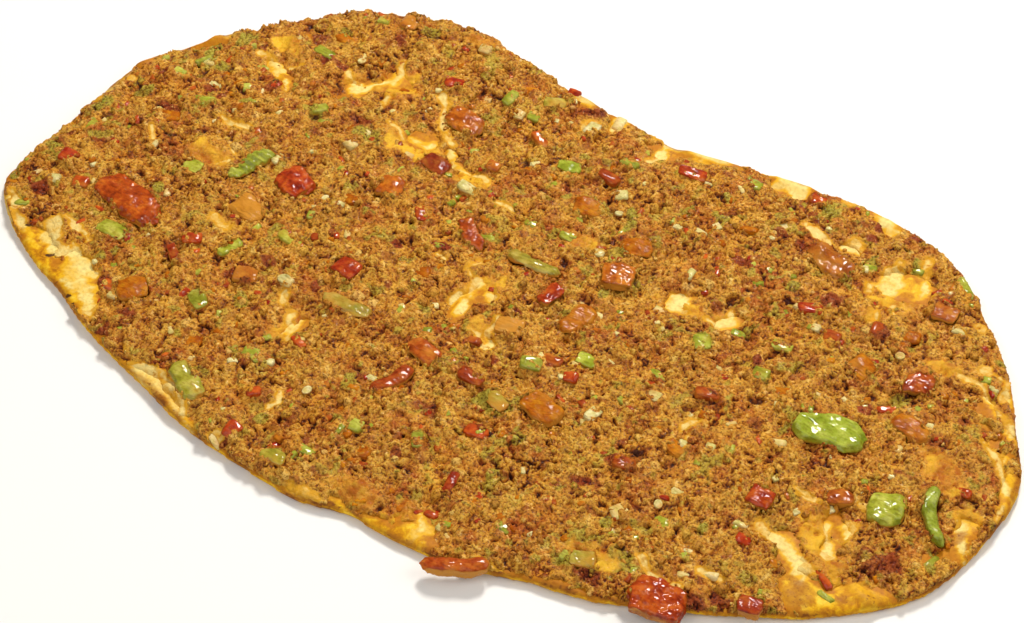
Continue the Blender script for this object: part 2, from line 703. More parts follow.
SMEARS = (
    (-73, 61, 16, 13, -60), (-85, 54, 14, 8, -40), (-55, 39, 22, 12, -10), (-31, 35, 14, 8),
    (-7, -1, 16, 11, 60), (2, -15, 12, 8, -60), (-49, -41, 18, 6, 60), (-112, 57, 15, 8, -10),
    (-108, 4, 18, 10), (102, 60, 17, 17), (98, 48, 8, 6), (47, 24, 15, 9), (61, 24, 10, 8),
    (138, 6, 20, 10, -35), (120, -32, 30, 14, -50), (136, -44, 24, 9, 20), (68, -68, 15, 8),
    (18, -84, 16, 14), (0, -83, 14, 7), (10, 30, 14, 6), (125, 39, 14, 6), (-60, 90, 10, 6),
)
RUST_SPOTS = (
    (-75, 40, 12, 5, -20), (-46, 34, 12, 7, 10), (-28, 43, 8, 4, 60), (-107, 41, 5, 8, -20),
    (-141, 26, 3, 4), (-124, 28, 6, 4), (-119, 27, 3, 4), (-131, 15, 9, 3), (-85, 29, 6, 3, -15),
    (-106, 65, 6, 6), (-99, 58, 5, 4, -30), (-93, 58, 6, 4), (-82, 77, 6, 4, -40), (50, 14, 6, 4),
    (61, 63, 6, 4), (68, 62, 4, 3), (78, 61, 16, 8, -25), (55, 47, 8, 4), (69, -4, 8, 5, 10),
    (0, 62, 6, 3, 30), (29, 41, 4, 3, -40), (77, 14, 3, 4), (67, 74, 6, 3, -20),
    (134, 12, 7, 7, 20), (136, -32, 14, 10), (-131, -3, 5, 3), (-142, -6, 4, 5),
    (-95, -35, 10, 4, -30), (-105, -54, 7, 5), (-92, -62, 7, 4), (-96, -69, 8, 5, -30),
    (-72, -32, 10, 8), (-53, -48, 5, 4), (-52, -60, 3, 2), (-53, -13, 4, 3), (-57, -3, 3, 5),
    (-42, -83, 4, 10, 20), (-12, -81, 5, 3), (10, -24, 5, 5), (26, -16, 4, 5), (61, -38, 10, 6),
    (18, -48, 10, 5), (2, -48, 10, 5), (52, -48, 7, 4), (3, -66, 4, 5), (0, -60, 4, 4),
    (34, -65, 4, 2, 40), (8, -4, 4, 2, 30), (68, -74, 12, 5, -10), (104, -64, 8, 5),
    (99, -68, 8, 4), (111, 15, 5, 5), (103, 41, 7, 6), (97, 82, 4, 4), (86, 81, 5, 5),
    (86, 75, 5, 3), (115, 62, 7, 5), (-37, 1, 4, 3), (-26, 7, 8, 3), (-67, -24, 6, 4),
    (-50, -24, 4, 5), (-145, -33, 8, 6), (86, 46, 6, 6), (-14, 80, 10, 5),
)
OLIVE_SPOTS = (
    (-69, 37, 12, 6, -20), (-127, 53, 6, 9), (-132, 41, 4, 16, 20), (-116, 78, 7, 6, 45),
    (-100, 72, 4, 4), (-89, 36, 8, 5, -30), (-84, 34, 4, 3, 45), (-149, 5, 5, 7), (-142, 17, 5, 6),
    (-152, -17, 6, 4), (-157, -32, 4, 5), (-148, -41, 6, 4, -50), (-114, -15, 5, 4),
    (-126, 38, 8, 6), (-75, -60, 5, 3, -30), (-44, 2, 5, 4), (-15, 17, 8, 3, 20), (-18, -16, 6, 3),
    (-37, -74, 5, 4), (-58, -57, 3, 5), (-61, -68, 5, 3), (19, 45, 4, 10, 20), (70, 78, 6, 4, -40),
    (26, 15, 4, 4), (69, 24, 7, 3, 45), (60, 13, 6, 6, 30), (33, 22, 3, 5), (73, 46, 5, 5),
    (89, 66, 4, 7, -20), (103, 71, 5, 5), (138, 50, 4, 3), (119, 22, 8, 4, 20),
    (148, -24, 4, 8, 20), (107, -54, 5, 5), (90, -46, 3, 6), (66, -57, 4, 5), (64, -65, 10, 8),
    (75, -66, 12, 8), (62, -73, 9, 5), (31, -44, 4, 4), (-77, 86, 8, 6), (-110, 29, 5, 4),
    (-67, -40, 8, 6), (18, -37, 13, 7),
)
PIT_SPOTS = (
    (-20, 50, 3, 2.5), (-14, 53, 1.5, 3.5), (-4, 47, 3, 1.5, -45), (-37, 3, 3, 1.5, -20),
    (-60, 20, 4, 1.5, -30), (-10, 20, 1.5, 3), (-33, 20, 4, 1.5, -40), (38, 67, 5, 1.5, -20),
    (60, 32, 4, 2, 30), (75, 40, 5, 1.2), (80, 19, 5, 2, 70), (82, 2, 4, 3, 20), (82, 50, 3, 1.5),
    (10, 20, 2.5, 2.5), (31, 38, 4, 2.5, -45), (38, 44, 2.5, 1.5, -60), (21, 54, 3, 2),
    (110, 67, 2, 1.5), (92, 8, 4, 2, -60), (96, 4, 6, 1.5, -20), (88, 17, 4, 1.2, 90),
    (111, 19, 3, 2), (-122, -13, 4, 2, -20), (-77, -66, 8, 1.2, -85), (-84, -75, 6, 1.5, 15),
    (-80, -5, 3, 1.2, -50), (-23, -16, 5, 1.5, 70), (-26, -15, 3, 2), (-63, -20, 2, 1.5, 60),
    (-15, -40, 4, 1.5, 70), (-22, -68, 4, 1.5, 90), (-12, -58, 3, 1.2, 90), (-9, -61, 2.5, 2),
    (-21, -80, 3, 1.5), (-26, -77, 3, 1.2, 30), (-3, -53, 3, 2), (-22, -46, 4, 1.2, -10),
    (54, -7, 3, 2), (12, -34, 2.5, 2), (36, -50, 10, 1.2, 10), (14, -44, 8, 1.5, 15),
    (38, -34, 2.5, 1.2), (45, -58, 2.5, 1.5, 30), (26, -57, 2, 1.5), (64, -69, 4, 1.2, -30),
    (58, -33, 4, 1.5, -30), (23, -46, 3, 2, 45), (70, -48, 4, 1.5), (33, -8, 5, 1.5, 15),
    (67, -10, 4, 2, 20), (77, -58, 4, 1.5, -60), (-79, 73, 5, 2, -20), (-48, 70, 4, 2, 60),
    (-138, 40, 4, 1.5, -40), (-133, 35, 3, 1.2, -60),
)


def line_distance(places, points):
    """How far, in mm, each place lies from a line through the points."""
    flat = places[:, :2] / MM
    nearest = np.full(len(flat), np.inf)
    for start, end in zip(points[:-1], points[1:]):
        start, end = np.array(start, float), np.array(end, float)
        along = end - start
        share = np.clip((flat - start) @ along / (along @ along), 0, 1)
        nearest = np.minimum(nearest, np.linalg.norm(flat - start - share[:, None] * along, axis=1))
    return nearest


def wobble_of(piece):
    """How far a noise pushes the edges of ovals and veins in and out at each corner."""
    return WOBBLE * (pattern(piece, "uneven", 4) - 0.5)


def spot_amount(places, rows, wobble):
    """How much of a tone each place has from a list of ovals with uneven edges."""
    amount = np.zeros(len(places))
    for row in rows:
        strength = row[5] if len(row) > 5 else 1.0
        inside = smooth_step((SPOT_REACH - oval_share(places, row) + wobble) / SPOT_SOFTNESS)
        amount = np.maximum(amount, strength * inside)
    return amount


def vein_amount(places, wobble):
    """How much cream each place has from the veins."""
    amount = np.zeros(len(places))
    for points, width in CREAM_VEINS:
        share = line_distance(places, points) / (width / 2)
        inside = smooth_step((VEIN_SOFTNESS - share + VEIN_SOFTNESS * wobble) / VEIN_SOFTNESS)
        amount = np.maximum(amount, inside)
    return amount


print("rows:", len(CREAM_VEINS), len(SMEARS), len(RUST_SPOTS), len(OLIVE_SPOTS), len(PIT_SPOTS))

# %% [markdown]
# The dough is one thin slab whose rim is rounded and a little ragged. The solid's faces are too
# large for the small blisters and wrinkles of a baked skin. Subdividing them would keep their
# long triangles, so the copy is remeshed into small even ones, which textures can then push.
# Where the photograph shows a fold, a row gives its line, its width and its height in mm.

# %% Shape of the dough
DOUGH_VOXEL = 1.15 * MM
DOUGH_TOP = 3.0 * MM
WAVE_HEIGHT = 0.35
BUBBLE_HEIGHT = 0.45
OVEN_MARK_HEIGHT = 0.25
UNDERSIDE_SHARE = 0.2
RIDGES = (
    (((130, 39), (137, 37), (145, 30), (152, 26), (152, 15), (157, 8), (159, 3)), 3.0, 1.1),
    (((113, -20), (128, -28), (127, -38), (140, -45)), 3.0, 0.9),
    (((-58, 62), (-53, 57), (-48, 48), (-42, 42), (-33, 37), (-27, 38)), 2.5, 0.9),
    (((-12, 8), (-10, 3), (-2, -1), (-10, -5), (-9, -12)), 2.2, 0.8),
    (((-85, -80), (-68, -87), (-50, -90)), 4.0, 0.9),
    (((46, -86), (62, -84), (78, -79)), 3.0, 0.8),
    (((-119, 51), (-112, 50), (-108, 46), (-104, 41)), 2.2, 0.6),
    (((-76, 68), (-74, 62), (-80, 57)), 2.0, 0.6),
    (((-152, 28), (-149, 37), (-144, 43), (-137, 48)), 5.0, 2.8),
    (((-136, 50), (-131, 55)), 4.5, 2.4), (((50, 84), (60, 85)), 4.5, 1.8),
    (((20, 82), (36, 84)), 4.5, 1.8), (((-22, 87), (-14, 85)), 4.5, 1.8),
    (((-7, 84), (-1, 83)), 4.0, 1.8), (((80, 85), (90, 84)), 4.5, 1.8),
    (((-80, -78), (-60, -84)), 4.5, 1.0),
)

dough = copy_of("flatbread", "baked_dough")
apply_modifier(dough, "REMESH", mode="VOXEL", voxel_size=DOUGH_VOXEL)
apply_modifier(dough, "SMOOTH", factor=0.5, iterations=3)
places = corners(dough)
above = smooth_step(places[:, 2] / DOUGH_TOP - UNDERSIDE_SHARE)
lift = WAVE_HEIGHT * (pattern(dough, "slow_waves", 11) - 0.5)
lift += BUBBLE_HEIGHT * (pattern(dough, "small_bubbles", 3.4) - 0.5)
for points, width, height in RIDGES:
    lift += height * smooth_step(1 - line_distance(places, points) / width)
places[:, 2] += lift * above * MM
oven_marks = OVEN_MARK_HEIGHT * pattern(dough, "oven_floor", 6) * (1 - above)
places[:, 2] = np.maximum(places[:, 2] + oven_marks * MM, CAD_BOX[0].z)
move_corners(dough, places)
shade_smooth(dough)
print("dough:", len(dough.data.polygons), "faces")

# %% [markdown]
# The meat is a layer of crumbs pressed on the dough. A solid of real crumbs would need millions
# of faces, and a flat sheet with a bumpy material looks painted. So a fine grid is dropped with
# Shrinkwrap, as cling film would be, and real crumb relief is pushed out of it later. It drops on
# the dough first, to keep the height of the dough under each corner, and then on the meat.

# %% Drop a fine grid on the meat
SHEET_SPACING = 0.39 * MM
SHEET_MARGIN = Vector((3, 3, 0)) * MM
START_HEIGHT = 20 * MM


def face_array(piece):
    """The four corner numbers of each face of a piece made of squares."""
    numbers = np.zeros(len(piece.data.polygons) * 4, np.int32)
    piece.data.polygons.foreach_get("vertices", numbers)
    return numbers.reshape(-1, 4)


def drop_on(piece, form):
    """Drops the piece's corners straight down on a form, and says which of them missed."""
    apply_modifier(
        piece, "SHRINKWRAP", target=form, wrap_method="PROJECT", use_project_z=True,
        use_positive_direction=False, use_negative_direction=True,
    )
    places = corners(piece)
    return places, places[:, 2] > START_HEIGHT - MM


meat_low, meat_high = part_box("meat_topping")
reach = (meat_high - meat_low) / 2 + SHEET_MARGIN
middle = (meat_high + meat_low) / 2

meat_form = copy_of("meat_topping", "meat_form")
bpy.ops.mesh.primitive_grid_add(
    x_subdivisions=round(2 * reach.x / SHEET_SPACING),
    y_subdivisions=round(2 * reach.y / SHEET_SPACING),
    size=2, location=(middle.x, middle.y, START_HEIGHT),
)
mince = bpy.context.object
mince.name = "mince"
bpy.ops.transform.resize(value=(reach.x, reach.y, 1))
bpy.ops.object.transform_apply(location=True, rotation=True, scale=True)
start_places = corners(mince)
dough_form = copy_of("flatbread", "dough_form")
dough_places, off_dough = drop_on(mince, dough_form)
move_corners(mince, start_places)
mark(mince, "dough_height", dough_places[:, 2])
delete_faces(mince, off_dough[face_array(mince)].any(axis=1))
dough_height = read_mark(mince, "dough_height")
places, missed = drop_on(mince, meat_form)
print("meat grid:", len(mince.data.polygons), "faces,", int(missed.sum()), "corners miss the meat")

# %% [markdown]
# The meat ends in a ragged edge with thin films of fat between its last crumbs. A line drawn
# round it would be too clean. So the corners that missed the meat sink into the dough, but a
# noise leaves some of them on it as a film, and a few patches at noted places stand higher. Then
# smoothing that may only raise the sheet fills the pockets and gaps that the drop left in it.

# %% Edge of the meat
SUNK_DEPTH = 1.1 * MM
EDGE_ROWS = 7
FILM_HEIGHT = 0.35 * MM
PATCH_HEIGHT = 1.8 * MM
FILM_LEAST = 0.30
FILM_FALL = 0.08
FILL_ROUNDS = 6
FILL_STEP = 12
LAST_STEP = 4
LEVEL_Z = {"factor": 1.0, "use_x": False, "use_y": False, "use_z": True}

faces = face_array(mince)
ragged = pattern(mince, "ragged", 2.2, 1)
patch = missed & (spot_amount(places, MEAT_PATCHES, ragged - 0.5) > 0.5)
missed &= ~patch
rows_out = np.where(missed, EDGE_ROWS + 1, 0)
for _ in range(EDGE_ROWS):
    np.minimum.at(rows_out, faces.ravel(), np.repeat(rows_out[faces].min(axis=1) + 1, 4))
film = missed & (ragged > FILM_LEAST + FILM_FALL * rows_out)
places[missed, 2] = dough_height[missed] - SUNK_DEPTH
places[film, 2] = dough_height[film] + FILM_HEIGHT
places[patch, 2] = dough_height[patch] + PATCH_HEIGHT
move_corners(mince, places)
mark(mince, "missed", missed)
delete_faces(mince, (rows_out[faces] > EDGE_ROWS).all(axis=1))
missed = read_mark(mince, "missed") > 0.5
for _ in range(FILL_ROUNDS):
    before = corners(mince)
    apply_modifier(mince, "SMOOTH", iterations=FILL_STEP, **LEVEL_Z)
    filled = np.maximum(before[:, 2], corners(mince)[:, 2])
    before[:, 2] = np.where(missed, before[:, 2], filled)
    move_corners(mince, before)
apply_modifier(mince, "SMOOTH", iterations=LAST_STEP, **LEVEL_Z)
print("faces that are left:", len(mince.data.polygons), "corners of film:", int(film.sum()))

# %% [markdown]
# Each cut vegetable lies in its own pocket in the meat. The solids have the right place, outline
# and height but large flat faces. They could be modelled again from cubes, but then they would
# have to be fitted, so each copy is remeshed finely, softened, and wrinkled as its kind wrinkles
# in the oven: a row gives the size and height of its folds and of its dents in mm. How steep each
# spot is goes on the mesh, for the darker cut sides. A piece's tones are its shade, the sauce on
# it, the turn of its hue in degrees and how dull it is.

# %% Cut vegetables
CHUNK_VOXEL = 0.48 * MM
RIBBED = "green_pepper_04"
RIB_SPACING = 2.3
RIB_HEIGHT = 0.45 * MM
PRESS_BAND = 1.5 * MM
FULL_DENT_SIZE = 10 * MM
FOLD_MIDDLE = 0.45
WRINKLES = {
    "tomato": (1.7, 0.62, 5.5, 1.0), "red_pepper": (1.8, 0.38, 5.5, 0.8),
    "orange_pepper": (1.8, 0.30, 5.0, 1.1), "green_pepper": (2.6, 0.30, 6.0, 1.2),
    "onion": (2.4, 0.3, 6.0, 0.9),
}
TONES = {
    "tomato_01": (0.57, 0.24, 4, 0.0), "tomato_02": (0.48, 0.05, 2, 0.0),
    "tomato_03": (0.50, 0.15, 1, 0.1), "tomato_04": (0.60, 0.30, 9, 0.1),
    "tomato_05": (0.62, 0.30, 8, 0.4), "tomato_06": (0.45, 0.40, 4, 0.0),
    "tomato_07": (0.40, 0.20, 1, 0.0), "tomato_08": (0.34, 0.28, 4, 0.1),
    "tomato_09": (0.55, 0.40, 8, 0.1), "tomato_10": (0.40, 0.10, 1, 0.0),
    "tomato_11": (0.65, 0.60, 9, 0.3), "tomato_12": (0.27, 0.55, 7, 0.1),
    "red_pepper_01": (0.60, 0.15, -3, 0.0), "red_pepper_02": (0.50, 0.25, 0, 0.1),
    "red_pepper_03": (0.65, 0.35, 0, 0.1), "red_pepper_04": (0.35, 0.40, -3, 0.1),
    "red_pepper_05": (0.55, 0.60, 3, 0.3), "red_pepper_06": (0.15, 0.40, -2, 0.3),
    "red_pepper_07": (0.60, 0.50, 4, 0.2), "red_pepper_08": (0.40, 0.25, -3, 0.1),
    "red_pepper_09": (0.75, 0.40, 2, 0.1), "red_pepper_10": (0.65, 0.40, 4, 0.2),
    "red_pepper_11": (0.40, 0.35, -3, 0.0), "orange_pepper_08": (0.45, 0.80, 4, 0.3),
    "green_pepper_01": (0.70, 0.00, 9, 0.0), "green_pepper_02": (0.66, 0.15, 2, 0.0),
    "green_pepper_03": (0.40, 0.00, 9, 0.0), "green_pepper_04": (0.55, 0.10, 4, 0.1),
    "green_pepper_05": (0.65, 0.30, -2, 0.1), "green_pepper_06": (0.65, 0.40, -8, 0.1),
    "green_pepper_07": (0.65, 0.45, -8, 0.1), "green_pepper_08": (0.40, 0.35, -3, 0.1),
    "green_pepper_09": (0.55, 0.45, -12, 0.1), "green_pepper_10": (0.50, 0.60, -14, 0.2),
    "green_pepper_11": (0.70, 0.25, 0, 0.1), "green_pepper_12": (0.70, 0.05, 6, 0.0),
    "green_pepper_13": (0.50, 0.65, -6, 0.2), "green_pepper_14": (0.70, 0.25, 0, 0.1),
    "green_pepper_15": (0.90, 0.10, 4, 0.1), "green_pepper_16": (0.65, 0.55, -10, 0.2),
    "green_pepper_17": (0.62, 0.55, -12, 0.2), "onion_01": (0.45, 0.85, -2, 0.1),
}
PLAIN_TONE = (0.5, 0.45, 0, 0.1)
rng = np.random.default_rng(SEED)


def press_under(places, top):
    """Presses the highest part of a piece together, so that it ends at a given height."""
    knee = top - PRESS_BAND
    highest = places[:, 2].max()
    if highest > top:
        high = places[:, 2] > knee
        places[high, 2] = knee + (places[high, 2] - knee) * PRESS_BAND / (highest - knee)
    return places


def wrinkle(piece, kind):
    """Softens a cut piece and gives it fine folds and slow dents."""
    fine, fine_height, slow, slow_height = WRINKLES[kind]
    apply_modifier(piece, "REMESH", mode="VOXEL", voxel_size=CHUNK_VOXEL)
    apply_modifier(piece, "SMOOTH", factor=0.6, iterations=2)
    folds = pattern(piece, "folds", fine, 1)
    dents = pattern(piece, "dents", slow, 0)
    slow_height *= min(1, min(piece.dimensions.x, piece.dimensions.y) / FULL_DENT_SIZE)
    push = fine_height * (folds - FOLD_MIDDLE) + slow_height * (dents - FOLD_MIDDLE)
    pushed = corners(piece) + normals(piece) * push[:, None] * MM
    pushed[:, 2] = np.maximum(pushed[:, 2], CAD_BOX[0].z)
    move_corners(piece, press_under(pushed, CAD_BOX[1].z))


def rib(piece):
    """Raises the cross ribs of a slice from a pepper's inner wall."""
    places = corners(piece)
    low, high = places.min(axis=0), places.max(axis=0)
    along = (places[:, 1] - low[1]) / MM
    top = smooth_step((places[:, 2] - low[2]) / (high[2] - low[2]) * 1.4 - 0.3)
    places[:, 2] += RIB_HEIGHT * np.sin(along / RIB_SPACING * 2 * math.pi) * top
    move_corners(piece, press_under(places, CAD_BOX[1].z))


CUT_PIECES = []
for node in sorted(set(NODES) - {"flatbread", "meat_topping"}):
    kind, number = node.rsplit("_", 1)
    piece = copy_of(node, f"{kind}_cut_{number}")
    wrinkle(piece, kind)
    if node == RIBBED:
        rib(piece)
    shade_smooth(piece)
    mark(piece, "side", smooth_step(1.1 - normals(piece)[:, 2] * 1.5) * 0.8)
    shade, sauce, hue_turn, dull = TONES.get(node, PLAIN_TONE)
    tones = {"shade": shade, "sauce": sauce, "hue": 0.5 + hue_turn / 360, "dull": dull}
    for label, value in tones.items():
        mark(piece, label, np.full(len(piece.data.vertices), value))
    piece.data.materials.append(FLESH[kind])
    piece["stands_for"] = node
    CUT_PIECES.append(piece)
face_count = sum(len(piece.data.polygons) for piece in CUT_PIECES)
print("cut pieces:", len(CUT_PIECES), "with", face_count, "faces")

# %% [markdown]
# A cut piece doesn't lie on the meat like a sweet on a cake: the meat was pressed up against it
# and creeps over its edge here and there. Pressing it up by hand would take a sculpting brush on
# every piece. Here a ray from above tells which corners of the grid lie under a piece, distances
# tell how near the others are, and a slow noise says how far the meat creeps over the edge.

# %% Press the meat against the cut pieces
PRESS_REACH = 3.2 * MM
CREEP_LEAST = -1.8 * MM
CREEP_MOST = 1.8 * MM
OVERLAP = 0.35 * MM
DOWN = Vector((0, 0, -1))


def tree_of(pieces):
    """One tree for rays and distances over several pieces."""
    places, faces = [], []
    start = 0
    for piece in pieces:
        here = corners(piece)
        places.append(here)
        faces.extend([[start + v for v in face.vertices] for face in piece.data.polygons])
        start += len(here)
    return BVHTree.FromPolygons(np.concatenate(places).tolist(), faces)


def top_over(tree, place):
    """Height of the top of what lies over a place, or nothing."""
    hit = tree.ray_cast(Vector((place[0], place[1], START_HEIGHT)), DOWN)[0]
    return hit.z if hit else None


places = corners(mince)
creep = pattern(mince, "creep", 4.5, 1)
creep = CREEP_LEAST + (CREEP_MOST - CREEP_LEAST) * creep
overlapped = 0
for piece in CUT_PIECES:
    outline = corners(piece)[:, :2]
    close = (places[:, :2] > outline.min(axis=0) - PRESS_REACH).all(axis=1)
    close &= (places[:, :2] < outline.max(axis=0) + PRESS_REACH).all(axis=1)
    tree = tree_of([piece])
    near = np.flatnonzero(close)
    tops = np.array([top_over(tree, places[number]) or 0 for number in near])
    under, beside = near[tops > 0], near[tops == 0]
    tops = tops[tops > 0]
    across = np.linalg.norm(places[beside, None, :2] - places[None, under, :2], axis=2)
    gap, depth, owner = across.min(axis=1), across.min(axis=0), across.argmin(axis=1)
    share = smooth_step(1 - gap / PRESS_REACH)
    share *= smooth_step(creep[beside], CREEP_LEAST, CREEP_MOST)
    places[beside, 2] += share * np.maximum(tops[owner] - places[beside, 2], 0)
    over = depth < creep[under]
    places[under[over], 2] = tops[over] + OVERLAP
    overlapped += int(over.sum())
move_corners(mince, places)
print("corners of the grid that creep over a piece:", overlapped)

# %% [markdown]
# The meat is flaky clumps of crumbs with cracks and pits between them. Sculpting them one by one
# would take days, and one noise looks like sand. So each kind of form has a noise of its own at
# its real size. Hard noise makes rounded lumps with sharp creases, and a cell pattern makes
# cracks, over warped places, so that they don't look like a honeycomb.

# %% Patterns of the meat
WARP = 1.6

places = corners(mince)
clumps = pattern(mince, "clumps", 4.4, 1, noise_type="HARD_NOISE", noise_basis="IMPROVED_PERLIN")
crumbs = pattern(mince, "crumbs", 1.7, 1, noise_type="HARD_NOISE", noise_basis="ORIGINAL_PERLIN")
grain = pattern(mince, "grain", 0.75, 1)
swell = pattern(mince, "swell", 6, 1)
pits = pattern(mince, "pits", 1.9, 1)
paste = pattern(mince, "paste", 7, 1)
calm_noise = pattern(mince, "calm", 9)
wobble = wobble_of(mince)
warp_east, warp_north, east, north = (
    pattern(mince, label, size, noise_basis=basis)
    for label, size, basis in (
        ("warp_east", 2.6, "IMPROVED_PERLIN"), ("warp_north", 2.6, "BLENDER_ORIGINAL"),
        ("east", 1.3, "IMPROVED_PERLIN"), ("north", 1.3, "BLENDER_ORIGINAL"),
    )
)
warped = places.copy()
warped[:, 0] += WARP * (warp_east - 0.5) * MM
warped[:, 1] += WARP * (warp_north - 0.5) * MM
move_corners(mince, warped)
cells = pattern(mince, "cracks", 6, kind="VORONOI", weight_1=-1, weight_2=1)
flakes = pattern(mince, "flakes", 4.4)
move_corners(mince, places)
print("patterns over", len(places), "corners")

# %% [markdown]
# Now the relief. The flakes are a slow noise in three steps, as if thin layers lay over one
# another, with a dark foot under each step. Clumps, crumbs and grains sit on them and a swell
# carries all of them. Where sauce or fat lies over the meat, or the paste is fine, it is calmer,
# and pits and cracks go down between. Heights are in mm. A pair with FROM in its name says where
# on its noise a form starts and how far on it is full.

# %% Push crumbs out of the meat
FLAKE_HEIGHT = 1.9
FLAKE_STEPS = 3
FLAKE_EDGE = (0.42, 0.16)
FOOT_MIDDLE, FOOT_WIDTH = 0.36, 0.18
CLUMP_HEIGHT, CLUMP_POWER, CLUMP_MIDDLE = 0.7, 0.42, 0.7
CRUMB_HEIGHT, CRUMB_POWER, CRUMB_MIDDLE = 0.4, 0.5, 0.65
GRAIN_HEIGHT = 0.3
SWELL_HEIGHT = 1.0
CRACK_DEPTH, CRACK_WIDTH = 0.8, 0.11
CRACKS_FROM = (0.30, 0.3)
PIT_DEPTH = 1.0
PITS_FROM = (0.82, 0.12)
PITS_UNDER_SMEAR = 0.7
PALE_DEPTH = 0.5
SIDE_SHIFT = 0.35
SMEARS_FROM = (0.6, 0.3)
NOTED_SMEAR, LOOSE_SMEAR = 0.9, 0.4
SMEAR_CALM, CREAM_CALM, PASTE_CALM = 0.5, 0.75, 0.60

cream = np.maximum(vein_amount(places, wobble), spot_amount(places, PALE_AREAS, wobble))
smear = np.maximum(
    NOTED_SMEAR * spot_amount(places, SMEARS, wobble),
    LOOSE_SMEAR * smooth_step(calm_noise, *SMEARS_FROM),
)
calm = 1 - np.maximum(SMEAR_CALM * smear, CREAM_CALM * cream)
calm = calm * (PASTE_CALM + PASTE_CALM * paste)
clump_round = clumps ** CLUMP_POWER
crumb_round = crumbs ** CRUMB_POWER
steps = flakes * FLAKE_STEPS
within = steps - np.floor(steps)
flake = (np.floor(steps) + smooth_step(within, *FLAKE_EDGE)) / FLAKE_STEPS
foot = smooth_step(1 - np.abs(within - FOOT_MIDDLE) / FOOT_WIDTH)
crack = smooth_step(1 - cells / CRACK_WIDTH) * smooth_step(swell, *CRACKS_FROM)
pit = smooth_step(pits, *PITS_FROM) * (1 - PITS_UNDER_SMEAR * smear)
pit = np.maximum(pit, spot_amount(places, PIT_SPOTS, wobble))
lift = FLAKE_HEIGHT * (flake - 0.5) * calm
lift += CLUMP_HEIGHT * (clump_round - CLUMP_MIDDLE) * calm
lift += CRUMB_HEIGHT * (crumb_round - CRUMB_MIDDLE) * calm
lift += GRAIN_HEIGHT * (grain - 0.5) * calm
lift += SWELL_HEIGHT * (swell - 0.5)
lift -= PIT_DEPTH * pit * (1 - cream) + CRACK_DEPTH * crack * calm + PALE_DEPTH * cream
places[:, 2] = np.minimum(places[:, 2] + lift * MM, CAD_BOX[1].z)
places[:, 0] += SIDE_SHIFT * (east - 0.5) * 2 * calm * MM
places[:, 1] += SIDE_SHIFT * (north - 0.5) * 2 * calm * MM
move_corners(mince, places)
print("meat relief in mm:", round(float(lift.min()), 2), "to", round(float(lift.max()), 2))

# %% [markdown]
# The material needs to know what each spot is: how deep it lies, whether sauce or cream covers it,
# and whether it is a rust-coloured crumb of tomato or an olive one of herbs. Besides the noted
# spots, a noise scatters a few more of both, so that the noted ones don't stand alone.

# %% Tones of the meat
SCATTER_SIZE = 4.5
SCATTER_SHARE = 0.75
SCATTERED_FROM = (0.60, 0.3)
CLUMP_DARK, CRUMB_DARK, FOOT_DARK, FLAKE_DARK = 0.35, 0.25, 0.45, 0.25
PIT_DARK = CRACK_DARK = 0.5

crevice = CLUMP_DARK * (1 - clump_round) + CRUMB_DARK * (1 - crumb_round)
crevice = crevice + FOOT_DARK * foot + FLAKE_DARK * (1 - flake)
mark(mince, "crevice", np.clip(
    crevice * calm + PIT_DARK * pit + CRACK_DARK * crack * calm, 0, 1
))
mark(mince, "smear", smear)
mark(mince, "cream", cream)
for label, rows, basis in (
    ("rust", RUST_SPOTS, "IMPROVED_PERLIN"), ("olive", OLIVE_SPOTS, "BLENDER_ORIGINAL"),
):
    bits = pattern(mince, label, SCATTER_SIZE, noise_basis=basis)
    scattered = SCATTER_SHARE * smooth_step(bits, *SCATTERED_FROM)
    mark(mince, label, np.maximum(spot_amount(places, rows, wobble), scattered))
mark(mince, "shade", pattern(mince, "each_crumb", 2.6, 1))
print("crevice share:", np.percentile(crevice, (5, 25, 50, 75, 95)).round(2))

# %% [markdown]
# Faces that ended up wholly inside the dough are never seen, so they go, and the open edge that
# is left is tucked down into the rim. The sheet is then cut in five, because one piece with all
# of its triangles would be too heavy to send on. Neighbours keep the same corners along a cut.

# %% Trim the meat and cut it in five
BURIED = 2.6 * MM
TUCK_HEIGHT = 1.5 * MM
TUCK_IN = 0.5 * MM
LOWEST_MEAT = 0.5 * MM
CUTS = (-95 * MM, -32 * MM, 32 * MM, 95 * MM)

delete_faces(mince, (corners(mince)[:, 2] < BURIED)[face_array(mince)].all(axis=1))
places = corners(mince)
faces = face_array(mince)
edges = np.sort(np.concatenate([faces[:, [a, (a + 1) % 4]] for a in range(4)]), axis=1)
edges, uses = np.unique(edges, axis=0, return_counts=True)
rim = np.unique(edges[uses == 1])
inward = -places[rim, :2] / np.linalg.norm(places[rim, :2], axis=1)[:, None]
tucked = places[rim, 2] > TUCK_HEIGHT
places[rim[tucked], 2] = TUCK_HEIGHT
places[rim[tucked], :2] += inward[tucked] * TUCK_IN
places[:, 2] = np.maximum(places[:, 2], LOWEST_MEAT)
move_corners(mince, places)
shade_smooth(mince)
sheet_places = corners(mince)
sheet_normals = normals(mince)
sheet_smear, sheet_cream = read_mark(mince, "smear"), read_mark(mince, "cream")
mince.data.materials.append(MINCE)

MEAT_PIECES = [mince]
for cut in CUTS:
    rest = MEAT_PIECES[-1]
    choose_faces(rest, corners(rest)[face_array(rest)].mean(axis=1)[:, 0] > cut)
    bpy.ops.mesh.separate(type="SELECTED")
    bpy.ops.object.mode_set(mode="OBJECT")
    MEAT_PIECES.append(next(o for o in bpy.context.selected_objects if o is not rest))
for number, piece in enumerate(MEAT_PIECES, 1):
    piece.name = f"mince_{number}"
print("meat parts:", [2 * len(piece.data.polygons) for piece in MEAT_PIECES], "triangles")

